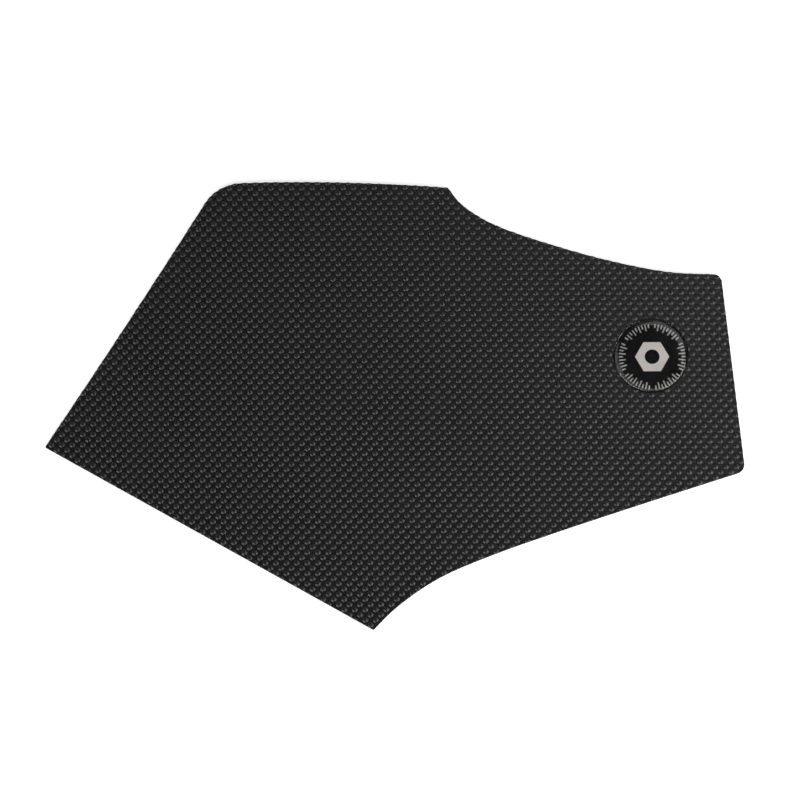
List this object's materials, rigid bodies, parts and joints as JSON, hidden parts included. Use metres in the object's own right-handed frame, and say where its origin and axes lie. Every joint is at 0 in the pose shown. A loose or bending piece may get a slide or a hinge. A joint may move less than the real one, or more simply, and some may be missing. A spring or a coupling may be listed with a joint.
{
  "type": "motorcycle tank grip pad",
  "caption": "Thin flexible traction pad for the side of a fuel tank, covered with small studs, with hollowed edges and a round domed badge near its narrow end.",
  "frame": {"origin": "on the adhesive back, under the middle of the outline's box", "axes": "+Z out of the studs, +X along the pad to the badge end, +Y to the edge with the rounded corner"},
  "size_m": [0.2356, 0.1534, 0.0026],
  "materials": {
    "pad_rubber": "moulded thermoplastic rubber, satin, with round studs in rows that are offset by half a pitch",
    "badge_film": "black printed film with pale printed marks",
    "badge_resin": "clear domed polyurethane resin, glossy"
  },
  "bodies": {
    "root": {"grip_pad": "pad_rubber", "badge_disc": "badge_film", "badge_dome": "badge_resin"}
  },
  "joints": []
}
